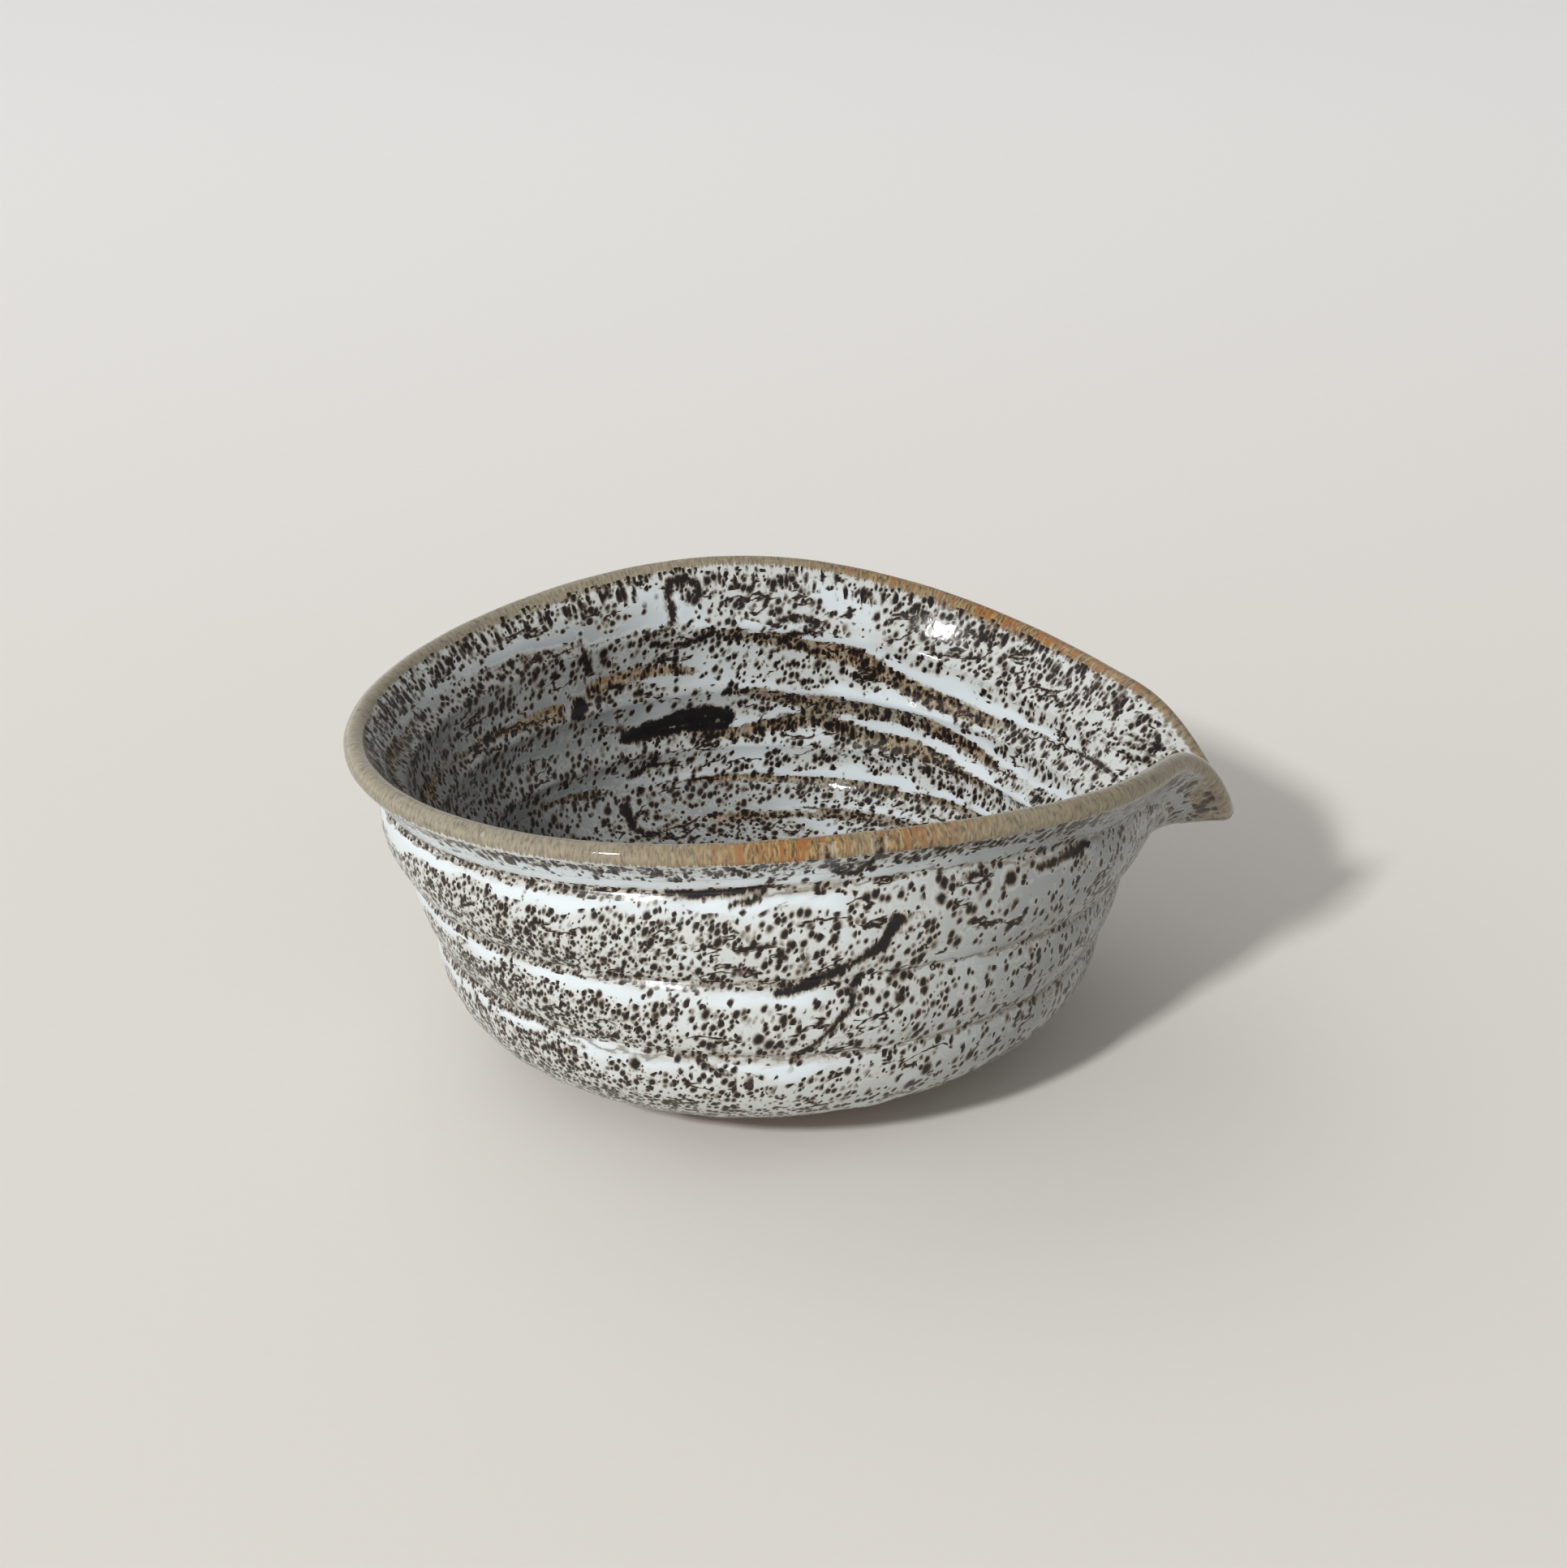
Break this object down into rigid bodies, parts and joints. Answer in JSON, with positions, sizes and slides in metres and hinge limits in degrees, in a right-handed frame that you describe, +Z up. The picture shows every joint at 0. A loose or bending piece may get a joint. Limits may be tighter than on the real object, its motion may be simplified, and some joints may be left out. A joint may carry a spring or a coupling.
{
  "type": "spouted tea bowl",
  "caption": "Oval bowl with a pulled pouring spout, finger-banded wall, rounded lip and low foot ring, under glossy white glaze with dark iron specks.",
  "frame": {"origin": "on the table, under the middle of the bounding box of the whole bowl, spout included", "axes": "+X out through the spout, +Z up, +Y to the left when looking along the spout"},
  "size_m": [0.1446, 0.1122, 0.0616],
  "materials": {
    "stoneware": "fired bare iron-bearing stoneware, matt brown, slightly sandy",
    "white_glaze": "glossy bluish-white glaze, crowded with dark brown iron specks, amber and tan where it runs thin over the lip and the ridges"
  },
  "bodies": {
    "root": {"clay_body": "stoneware", "foot_ring": "stoneware", "inside_glaze": "white_glaze", "outside_glaze": "white_glaze"}
  },
  "joints": []
}
